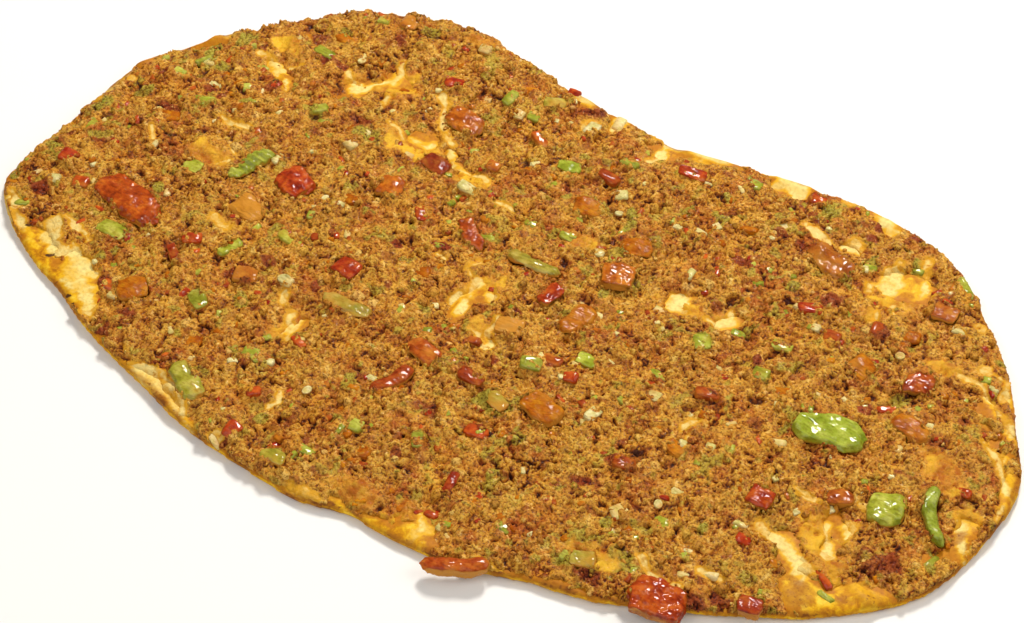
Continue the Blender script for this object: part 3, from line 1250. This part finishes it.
# %% [markdown]
# Loose crumbs lie on the sheet, and they give it what a draped grid can't have: undersides,
# gaps and shadows. Each could be its own object, but thousands of objects are slow and are lost
# on export. So a few crumbs are modelled by hand from a cube that is subdivided and shaken, and
# copies of them, turned and sized at random, are joined into one mesh for each kind.

# %% Model a few crumbs
def finished_form():
    """Corners and faces of the piece being modelled, sized to 1 across. It is then removed."""
    bpy.ops.object.mode_set(mode="OBJECT")
    piece = bpy.context.object
    places = corners(piece)
    faces = np.array([tuple(face.vertices) for face in piece.data.polygons])
    bpy.data.objects.remove(piece)
    return places / np.abs(places).max() * 0.5, faces


def model_crumb(number, cuts, shake):
    """One uneven lump."""
    bpy.ops.mesh.primitive_cube_add(size=1)
    bpy.ops.object.mode_set(mode="EDIT")
    bpy.ops.mesh.subdivide(number_cuts=cuts, smoothness=0.6)
    bpy.ops.transform.vertex_random(offset=shake, seed=number)
    return finished_form()


CRUMB_FORMS = [model_crumb(number, 1, 0.17) for number in range(8)]
LUMP_FORMS = [model_crumb(number + 20, 2, 0.12) for number in range(8)]
print("crumb forms:", len(CRUMB_FORMS), "small and", len(LUMP_FORMS), "large")

# %% [markdown]
# Joining hundreds of copies with the Join operator is slow, so their corners and faces are put
# together as lists. Every copy picks a form, is sized, then turned, then laid at its place. How
# deep each corner lies in its copy is kept, for dark undersides, and each copy has its own shade.

# %% Join turned and sized copies
def random_turns(count):
    """Turns that point every way, one 3 by 3 matrix each."""
    quats = rng.normal(size=(count, 4))
    w, x, y, z = (quats / np.linalg.norm(quats, axis=1)[:, None]).T
    return np.stack([
        1 - 2 * (y * y + z * z), 2 * (x * y - w * z), 2 * (x * z + w * y),
        2 * (x * y + w * z), 1 - 2 * (x * x + z * z), 2 * (y * z - w * x),
        2 * (x * z - w * y), 2 * (y * z + w * x), 1 - 2 * (x * x + y * y),
    ], axis=1).reshape(-1, 3, 3)


def join_copies(name, forms, middles, sizes, turns, shades, material):
    """One mesh with a copy of a form at each middle, sized before it is turned."""
    chosen = rng.integers(len(forms), size=len(middles))
    all_places, all_faces, all_shades, all_depths = [], [], [], []
    start = 0
    for number, (form, faces) in enumerate(forms):
        here = chosen == number
        if not here.any():
            continue
        local = form[None] * sizes[here][:, None, :]
        turned = np.einsum("nij,nvj->nvi", turns[here], local)
        low = turned[:, :, 2].min(axis=1, keepdims=True)
        high = turned[:, :, 2].max(axis=1, keepdims=True)
        all_depths.append((1 - (turned[:, :, 2] - low) / (high - low)).ravel())
        all_places.append((turned + middles[here][:, None, :]).reshape(-1, 3))
        count = here.sum()
        offsets = start + np.arange(count) * len(form)
        all_faces.append((faces[None] + offsets[:, None, None]).reshape(-1, faces.shape[1]))
        all_shades.append(np.repeat(shades[here], len(form)))
        start += count * len(form)
    mesh = bpy.data.meshes.new(name)
    all_places = press_under(np.concatenate(all_places), CAD_BOX[1].z)
    mesh.from_pydata(all_places, [], np.concatenate(all_faces))
    mesh.materials.append(material)
    piece = add_piece(name, mesh)
    shade_smooth(piece)
    depths, shades = np.concatenate(all_depths), np.concatenate(all_shades)
    tones = {
        "crevice": smooth_step(depths, 0.35, 0.65) * 0.6,
        "side": smooth_step(depths, 0.3, 0.5) * 0.7,
        "shade": shades, "sauce": shades * 0.6, "hue": 0.5 + (shades - 0.5) * 0.03,
        "dull": shades * 0.3,
    }
    for label, values in tones.items():
        mark(piece, label, values)
    return piece


print("joining ready")

# %% [markdown]
# Crumbs are thick on the dry meat, thin in the smears, and pushed up round the edges of the cut
# pieces, which hides the gap round each and sets it into the meat. A ray from above tells whether
# a spot is under a cut piece, and the distance to the nearest one tells how near it is.

# %% Find places for the crumbs
CRUMB_COUNT = 700
LUMP_COUNT = 600
COLLAR_COUNT = 600
TRIES = 4 * (CRUMB_COUNT + LUMP_COUNT + COLLAR_COUNT)
COLLAR_WIDTH = 1.6 * MM
CRUMB_CLEAR = 0.5 * MM
LUMP_CLEAR = 1.5 * MM
EDGE_CLEAR = 2.0 * MM
LOWEST_CRUMB = 3.4 * MM
GAP_REACH = 4 * MM
FAR = 1

cut_tree = tree_of(CUT_PIECES)
bread_tree = tree_of([dough])


def is_covered(place):
    """Whether a cut piece lies over the place and the meat isn't on top of it."""
    top = top_over(cut_tree, place)
    return top is not None and top > place[2]


def is_free(place):
    """Whether a crumb can lie at a place: nothing covers it and it isn't at the bread's edge."""
    further_out = place[:2] * (1 + EDGE_CLEAR / np.linalg.norm(place[:2]))
    return top_over(bread_tree, further_out) is not None and not is_covered(place)


on_top = np.flatnonzero(sheet_places[:, 2] > LOWEST_CRUMB)
drawn = rng.choice(on_top, size=TRIES, replace=False)
free = np.array([number for number in drawn if is_free(sheet_places[number])])
gaps = np.array([
    cut_tree.find_nearest(Vector(sheet_places[number]), GAP_REACH)[3] or FAR for number in free
])
collar = free[gaps < COLLAR_WIDTH][:COLLAR_COUNT]
grainy = rng.uniform(size=len(free)) > np.maximum(0.9 * sheet_smear, 1.5 * sheet_cream)[free]
spread = free[grainy & (gaps >= CRUMB_CLEAR)][:CRUMB_COUNT]
lumpy = free[grainy & (gaps >= LUMP_CLEAR)][CRUMB_COUNT:][:LUMP_COUNT]
print("crumbs:", len(spread), "spread,", len(lumpy), "lumps,", len(collar), "in collars")

# %% [markdown]
# The crumbs are sized as minced meat is, most of them small and a few large, and each is a little
# longer than wide and lower still. Fine crumbs lie loose on the sheet, and lumps are sunk into it,
# so that they look grown together with it. None may reach out of the bread's own height.

# %% Make the crumbs
LONGEST_REACH = 0.85
SIZE_SPREAD = 0.32
SMALLEST = 0.6


def strew(name, forms, chosen, width, most, raised):
    """Lays crumbs at chosen corners of the sheet. Width and most are in mm, raised is a share."""
    count = len(chosen)
    widths = np.clip(rng.lognormal(math.log(width), SIZE_SPREAD, count), SMALLEST, most) * MM
    sizes = widths[:, None] * np.stack([
        np.ones(count), rng.uniform(0.55, 1.0, count), rng.uniform(0.45, 0.8, count),
    ], axis=1)
    up = raised * widths * rng.uniform(0.2, 1.0, count)
    middles = sheet_places[chosen] + sheet_normals[chosen] * up[:, None]
    spare = LONGEST_REACH * widths
    middles[:, 2] = np.clip(middles[:, 2], CAD_BOX[0].z + spare, CAD_BOX[1].z - spare)
    turns = random_turns(count)
    return join_copies(name, forms, middles, sizes, turns, rng.uniform(size=count), MINCE)


CRUMB_PIECES = [
    strew("crumbs", CRUMB_FORMS, spread[::2], 0.9, 1.6, 0.0),
    strew("more_crumbs", CRUMB_FORMS, spread[1::2], 1.2, 2.2, -0.1),
    strew("lumps", LUMP_FORMS, lumpy, 2.6, 4.4, -0.25),
    strew("collar_crumbs", CRUMB_FORMS, collar, 1.1, 2.0, 0.1),
]
print("crumb pieces:", [2 * len(piece.data.polygons) for piece in CRUMB_PIECES], "triangles")

# %% [markdown]
# Small dice of pepper, tomato, onion and garlic are baked fast to the meat. In the solid they
# are bumps of the meat itself, so here they are pieces of their own colour at the same places.
# Each row gives the middle, length and width in mm and the turn in degrees. A round crumb would
# look like meat, so a die is a cube that is cut finely, shaken and smoothed at its edges.

# %% Places of the small dice
SMALL_DICE = {
    "tomato": (
        (-144, -19, 8, 6, 5), (33, -18, 5, 4, 10), (82, 39, 8, 5, 20), (65, 81, 6, 5, 0),
        (-92, -28, 7, 5, 30), (-42, -46, 6, 3, -20), (-43, -68, 5, 4, 30), (-41, -82, 6, 5, 80),
        (-135, -26, 6, 5, 15), (-107, 40, 6, 4, 90), (-21, 60, 8, 4, -30), (19, -48, 8, 5, 0),
        (22, -77, 5, 4, 0), (-37, 15, 7, 5, -50), (27, 71, 10, 5, 10), (101, -44, 5, 4, 10),
        (147, 1, 5, 3, 0), (-57, 68, 7, 6, 20), (-63, -35, 4, 3, 0), (4, -48, 4, 3, 20),
        (-23, 86, 5, 3, 0), (-95, 85, 4, 3, 0), (88, -66, 5, 3, 0), (118, -16, 4, 3, 0),
        (125, -43, 9, 2.6, -38), (116, 18, 6, 3, 25), (-83, -47, 8, 2.2, 85), (-104, -54, 6, 4, 0),
    ),
    "red_pepper": (
        (8, -32, 9, 5, 0), (61, -38, 7, 5, 10), (-28, 43, 5, 4, 0), (70, -4, 8, 5, 15),
        (103, 42, 6, 6, 0), (5, 57, 8, 5, -10), (92, 32, 6, 6, 0), (0, -19, 8, 3, 5),
        (25, -15, 8, 4, 0), (-60, -8, 5, 3, 30), (-100, 20, 6, 4, 0), (48, -58, 6, 4, 20),
    ),
    "orange_pepper": (
        (-70, -60, 7, 5, 10), (-25, -5, 6, 5, 20), (52, 60, 7, 5, 0), (-100, 70, 8, 5, -20),
        (88, 8, 6, 5, 30), (-5, -70, 6, 5, 0), (70, -25, 7, 5, -20), (-128, 12, 7, 5, 30),
        (40, -70, 6, 4, 0), (112, 45, 6, 5, 10), (-60, 10, 6, 4, 0), (-35, 78, 7, 4, 10),
    ),
    "green_pepper": (
        (-66, -14, 9, 4, -8), (21, -20, 7, 5, 15), (-12, -63, 6, 5, 0), (7, -60, 6, 4, -60),
        (79, -50, 6, 5, 0), (81, 22, 7, 4, 10), (80, 10, 6, 5, 0), (118, 70, 9, 4, -45),
        (-136, 28, 5, 5, 0), (-122, 22, 9, 4, 20), (-101, 60, 9, 4, -10), (-6, 29, 6, 5, 0),
        (-52, -56, 6, 4, 10), (-88, 37, 6, 4, 30), (-114, 35, 5, 4, 60), (60, 12, 6, 6, 30),
        (8, 65, 7, 4, -15), (46, 76, 5, 5, 0), (-38, 71, 7, 4, 80), (55, -4, 9, 3, 5),
        (-147, -5, 7, 4, 70), (-20, -77, 7, 4, 0), (6, 30, 7, 3, 0), (-92, 82, 5, 3, 0),
        (-32, 28, 5, 3, 20), (-85, 34, 4, 3, 0), (-116, 46, 5, 3, 0), (-28, 68, 5, 3, 0),
        (-13, -23, 5, 4, 30), (67, 22, 5, 3, 0), (62, -72, 5, 4, 0), (42, -72, 5, 4, 0),
        (90, 64, 5, 3, 0), (-147, -40, 6, 4, 20), (128, -48, 6, 2.2, -10), (-132, 40, 12, 2.6, 65),
        (-16, 17, 7, 2.6, 20), (148, -24, 8, 2.6, 70), (137, 41, 4, 3, 0), (103, 71, 4, 3, 0),
    ),
    "onion": (
        (-72, 29, 6, 4, -15), (-30, 31, 8, 4, -5), (-143, -29, 5, 4, 20), (-9, 72, 6, 5, 80),
        (-56, 86, 5, 4, 0), (12, 52, 5, 4, 30), (45, 34, 5, 3, 85), (67, -52, 6, 5, 60),
        (45, -27, 6, 4, 80), (-57, -29, 4, 4, 0), (-88, 13, 5, 3, 70), (57, -12, 5, 4, 0),
        (95, -10, 6, 3, 10), (-32, 66, 4, 4, 0), (-54, 35, 4, 3, 0), (28, 7, 4, 3, 0),
        (68, 7, 4, 3, 20), (43, 18, 4, 3, 0), (40, 51, 5, 3, 0), (43, 55, 4, 3, 60),
        (78, -38, 5, 3, 0), (72, -22, 4, 3, 30), (33, 50, 4, 3, 0), (130, 18, 4, 3, 0),
        (86, 34, 4, 3, 0), (-17, -46, 4, 3, 0), (98, -39, 5, 3, 0), (17, 28, 4, 3, 0),
        (-68, 49, 3, 2.5, 0), (-45, 69, 3, 2.5, 0), (-46, -56, 4, 3, 0), (-78, -60, 4, 2, -30),
        (-66, -66, 2.5, 2.5, 0), (-44, -86, 6, 3, -20), (61, 66, 4, 2.5, -30), (123, 54, 5, 2.5, 0),
        (98, -58, 6, 3, 0), (79, -20, 3, 2.5, 0), (-124, 31, 5, 3, 0), (-134, 13, 4, 2.5, 20),
        (-137, -17, 3, 2.5, 0), (-100, -58, 4, 2.5, 0), (22, -15, 3, 2, 0), (-67, 7, 2, 3, 0),
        (15, 36, 2.5, 2.5, 0), (-42, -45, 3, 2, 10), (69, -13, 4, 4, 0), (-4, 81, 4, 6, 0),
    ),
}


def model_die(number):
    """One cut die with softened edges."""
    bpy.ops.mesh.primitive_cube_add(size=1)
    bpy.ops.object.mode_set(mode="EDIT")
    bpy.ops.mesh.subdivide(number_cuts=3)
    bpy.ops.transform.vertex_random(offset=0.2, seed=number)
    bpy.ops.mesh.vertices_smooth(factor=0.5, repeat=3)
    bpy.ops.transform.vertex_random(offset=0.04, seed=number + 50)
    return finished_form()


DIE_FORMS = [model_die(number) for number in range(6)]
print("die forms:", len(DIE_FORMS), "with", len(DIE_FORMS[0][1]), "faces each")

# %% [markdown]
# The dice are sunk about a third of their thickness into the meat, which takes the mean height of
# the sheet near each one. Besides the noted ones, some smaller bits are strewn at random, where
# the meat is free of cream and no cut piece lies, because the noted rows can't hold every bit.

# %% Lay the small dice in the meat
RANDOM_BITS = {
    "tomato": 80, "red_pepper": 80, "orange_pepper": 100, "green_pepper": 90, "onion": 70,
}
BIT_LENGTHS = (1.6, 4.2)
BIT_WIDTHS = (1.2, 2.6)
DIE_HEIGHT = 2.4
DIE_SINK = 0.36
DIE_TILT = 0.25
DIE_SHADES = (0.4, 0.75)
ONION_PALER = 0.25
NEIGHBOURS = 12
OVER_DOUGH = 0.3 * MM
MOST_CREAM = 0.3


def flat_tree(places):
    """A tree of places as seen from above."""
    tree = KDTree(len(places))
    for number, place in enumerate(places):
        tree.insert((place[0], place[1], 0), number)
    tree.balance()
    return tree


def meat_height(x, y):
    """Mean height of the meat near a place, or of the dough where that is higher."""
    found = sheet_tree.find_n((x, y, 0), NEIGHBOURS)
    meat = float(np.mean([sheet_places[item[1], 2] for item in found]))
    return max(meat, DOUGH_TOP, (top_over(bread_tree, (x, y)) or 0) + OVER_DOUGH)


def turns_about_up(angles, tilt):
    """Turns about the upright by given angles, with a small random tilt."""
    return np.array([
        Matrix.Rotation(angle, 3, "Z") @ Matrix.Rotation(rng.uniform(-tilt, tilt), 3, "X")
        @ Matrix.Rotation(rng.uniform(-tilt, tilt), 3, "Y")
        for angle in angles
    ])


sheet_tree = flat_tree(sheet_places)
DICE_PIECES = []
for kind, rows in SMALL_DICE.items():
    rows = list(rows)
    tries = rng.choice(on_top, size=3 * RANDOM_BITS[kind], replace=False)
    tries = tries[sheet_cream[tries] < MOST_CREAM]
    loose = [number for number in tries if is_free(sheet_places[number])]
    for number in loose[:RANDOM_BITS[kind]]:
        x, y = sheet_places[number][:2] / MM
        rows.append((
            x, y, rng.uniform(*BIT_LENGTHS), rng.uniform(*BIT_WIDTHS), rng.uniform(0, 180)
        ))
    rows = np.array(rows)
    heights = np.array([meat_height(x * MM, y * MM) for x, y in rows[:, :2]])
    thick = np.minimum(DIE_HEIGHT, rows[:, 3]) * MM
    heights = np.minimum(heights - DIE_SINK * thick, CAD_BOX[1].z - 0.5 * thick)
    spots = np.stack([rows[:, 0] * MM, rows[:, 1] * MM, heights], axis=1)
    sizes = np.stack([rows[:, 2] * MM, rows[:, 3] * MM, thick], axis=1)
    paler = ONION_PALER if kind == "onion" else 0.0
    turns = turns_about_up(np.radians(rows[:, 4]), DIE_TILT)
    shades = rng.uniform(DIE_SHADES[0] + paler, DIE_SHADES[1] + paler, len(rows))
    DICE_PIECES.append(
        join_copies(f"{kind}_dice", DIE_FORMS, spots, sizes, turns, shades, FLESH[kind])
    )
print("dice:", {piece.name: len(piece.data.polygons) for piece in DICE_PIECES})

# %% [markdown]
# A few flat pepper seeds lie on the meat. A real one is a pale disc about 4 mm across with a
# thicker rim. It starts as a short cylinder whose top is inset and pushed in, so that a rim
# stands round it, since an even disc would look like a coin. A row gives its middle and its width.

# %% Pepper seeds
SEED_PLACES = (
    (-58, -29, 4.0), (15, 45, 2.8), (-30, -60, 3.2), (75, -44, 3.0), (-88, 62, 3.0),
    (112, 36, 3.0),
)
SEED_SHAPE = (1.0, 0.85, 1.0)
SEED_RAISED = 0.5 * MM
SEED_TILT = 0.3


def model_seed():
    """One seed."""
    bpy.ops.mesh.primitive_cylinder_add(vertices=12, radius=0.5, depth=0.22)
    seed = bpy.context.object
    choose_faces(seed, [face.normal.z > 0.9 for face in seed.data.polygons])
    bpy.ops.mesh.inset(thickness=0.12, depth=0.03)
    bpy.ops.mesh.inset(thickness=0.08, depth=-0.07)
    bpy.ops.mesh.select_all(action="SELECT")
    bpy.ops.mesh.quads_convert_to_tris()
    return finished_form()


rows = np.array(SEED_PLACES)
spots = np.array([
    (x * MM, y * MM, meat_height(x * MM, y * MM) + SEED_RAISED) for x, y, _ in rows
])
sizes = rows[:, 2:3] * MM * np.array([SEED_SHAPE])
turns = turns_about_up(rng.uniform(0, 6, len(rows)), SEED_TILT)
shades = rng.uniform(0.6, 0.9, len(rows))
seeds = join_copies("pepper_seeds", [model_seed()], spots, sizes, turns, shades, FLESH["onion"])
print("seeds:", len(rows))

# %% [markdown]
# The colours of the bare dough were noted spot by spot: cream where it puffed, toasted where it
# caught, and nearly black specks where it touched the oven. The rows are ovals like those of the
# meat. Beside the meat the dough is stained with fat, and that follows from the distance to the
# sheet. The rim is toasted by its distance to the side wall, and the underside by a noise.

# %% Tones of the dough
CREAM_SPOTS = (
    (-66, -88, 34, 4, -18), (126, -27, 6, 4, -40), (124, -36, 7, 4), (151, -9, 6, 5, 60),
    (139, 43, 8, 4, -10), (82, 70, 9, 4, 10), (72, 68, 8, 3), (24, 82, 24, 4, 4), (14, 75, 4, 8),
    (55, 83, 13, 5, 25), (87, 83, 9, 5, -10), (-17, 85, 7, 4, 20), (-4, 81, 5, 8),
    (-146, 42, 14, 5, 60), (-134, 53, 7, 4, 45), (-149, -43, 12, 6, -50), (-76, 64, 4, 10, 20),
    (-84, 53, 8, 6, 40), (-112, 49, 9, 3, -20), (-48, 48, 26, 3, -45), (-30, 38, 8, 3),
    (-10, 4, 5, 5), (-3, -1, 5, 3), (-9, -9, 4, 7), (5, -15, 3, 7), (46, 25, 9, 6, 50),
    (62, 25, 6, 5), (-50, -40, 5, 14, -20), (-88, -20, 5, 4),
)
TOAST_SPOTS = (
    (-118, -54, 12, 5, -40, 0.2), (-72, -84, 30, 3, -20, 0.5), (-30, -92, 40, 3, -4),
    (122, -51, 14, 9, -40), (136, -45, 16, 5, 30), (148, -40, 8, 3, 40), (156, -15, 4, 8),
    (152, -34, 4, 6), (150, -14, 12, 4, 60), (20, -84, 12, 8, 40, 0.3), (62, -84, 30, 3, 14, 0.5),
    (158, -4, 5, 18, 5),
)
CHAR_SPOTS = (
    (-129, -48, 3, 2), (-127, -53, 4, 2, 40), (-112, -63, 4, 2), (-110, -65, 2, 2),
    (-115, -64, 2, 1.5), (-85, -79, 3, 1.5), (48, -86, 3, 1.5), (66, -84, 4, 1.5),
    (-140, -46, 3, 2), (147, -41, 6, 3, 40), (142, -46, 3, 2, 40), (156, -25, 3, 2, 60),
)
TOASTED_RIM = 3.6 * MM
FAT_START, FAT_REACH = 0.4, 1.6
SIDEWAYS = 0.25
UPWARD_FROM, DOWNWARD_FROM = (-0.2, 0.6), (0.5, 0.3)
CREAM_BELOW, CREAM_UNDERNEATH = 0.35, 0.40
NOTED_TOAST, SIDE_TOAST = 0.7, 0.9
RIM_TOAST_EVEN, RIM_TOAST_SPOTTED = 0.25, 0.75
TOAST_FROM, TOAST_UNDERNEATH = (0.45, 0.4), 0.35
CHAR_FROM, CHAR_BELOW = (0.8, 0.2), 0.8


def gaps_to(tree, places):
    """How far each place lies from the nearest one in a tree, seen from above."""
    return np.array([tree.find((x, y, 0))[2] for x, y, _ in places])


places = corners(dough)
upright = normals(dough)[:, 2]
wobble = wobble_of(dough)
scorch = pattern(dough, "scorch", 8, 3)
upward = smooth_step(upright, *UPWARD_FROM)
below = 1 - upward
underneath = smooth_step(-upright, *DOWNWARD_FROM)
rim_side = smooth_step(1 - np.abs(upright) / 0.8)

meat_gap = np.zeros(len(places))
seen = upright > UPWARD_FROM[0]
meat_gap[seen] = gaps_to(sheet_tree, places[seen])
mark(dough, "stain", smooth_step(1 - (meat_gap / MM - FAT_START) / FAT_REACH) * upward)

cream = np.maximum(spot_amount(places, CREAM_SPOTS, wobble), vein_amount(places, wobble))
cream = np.maximum(cream, spot_amount(places, PALE_AREAS, wobble))
mark(dough, "cream", cream * upward + CREAM_BELOW * below + CREAM_UNDERNEATH * underneath)

rim_gap = gaps_to(flat_tree(places[np.abs(upright) < SIDEWAYS]), places)
toast = np.maximum(
    spot_amount(places, TOAST_SPOTS, wobble) * NOTED_TOAST * upward,
    SIDE_TOAST * rim_side * scorch,
)
rim_toast = smooth_step(1.2 - rim_gap / TOASTED_RIM)
rim_toast = rim_toast * (RIM_TOAST_EVEN + RIM_TOAST_SPOTTED * scorch) * upward
toast_below = smooth_step(scorch, *TOAST_FROM) * (below - TOAST_UNDERNEATH * underneath)
mark(dough, "toast", np.maximum(np.maximum(toast, rim_toast), toast_below))
char_below = smooth_step(scorch, *CHAR_FROM) * CHAR_BELOW * below
mark(dough, "char", np.maximum(spot_amount(places, CHAR_SPOTS, wobble) * upward, char_below))
dough.data.materials.append(DOUGH)
print("dough toned, cream on", int((cream > 0.5).sum()), "corners")

# %% [markdown]
# Every piece now says which solid it stands for, which body it rides on and which slot of the
# record its finish comes from. The bread has no joints, so all ride on the one body.

# %% Tie the pieces to the frame
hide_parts("flatbread")
for piece in [*MEAT_PIECES, *CRUMB_PIECES]:
    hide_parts("meat_topping")
for piece in [*DICE_PIECES, seeds]:
    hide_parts("meat_topping")
for piece in CUT_PIECES:
    node = piece["stands_for"]
    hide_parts(node)
for piece in [dough, *MEAT_PIECES, *CRUMB_PIECES, *DICE_PIECES, seeds, *CUT_PIECES]:
    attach(piece, "root")
bpy.data.objects.remove(meat_form)
bpy.data.objects.remove(dough_form)
print("pieces tied:", 2 + len(MEAT_PIECES + CRUMB_PIECES + DICE_PIECES + CUT_PIECES))

# %% [markdown]
# Last, the box of all that shows is measured and written beside the box of the solids, so that
# anyone can see whether the visible part has kept to the real size. Then the scene is handed over.

# %% Measure and finish
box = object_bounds()
sizes = {"cad_box": [list(corner) for corner in CAD_BOX], "visual_box": [list(corner) for corner in box]}
print("visual box in mm:", in_mm(box))
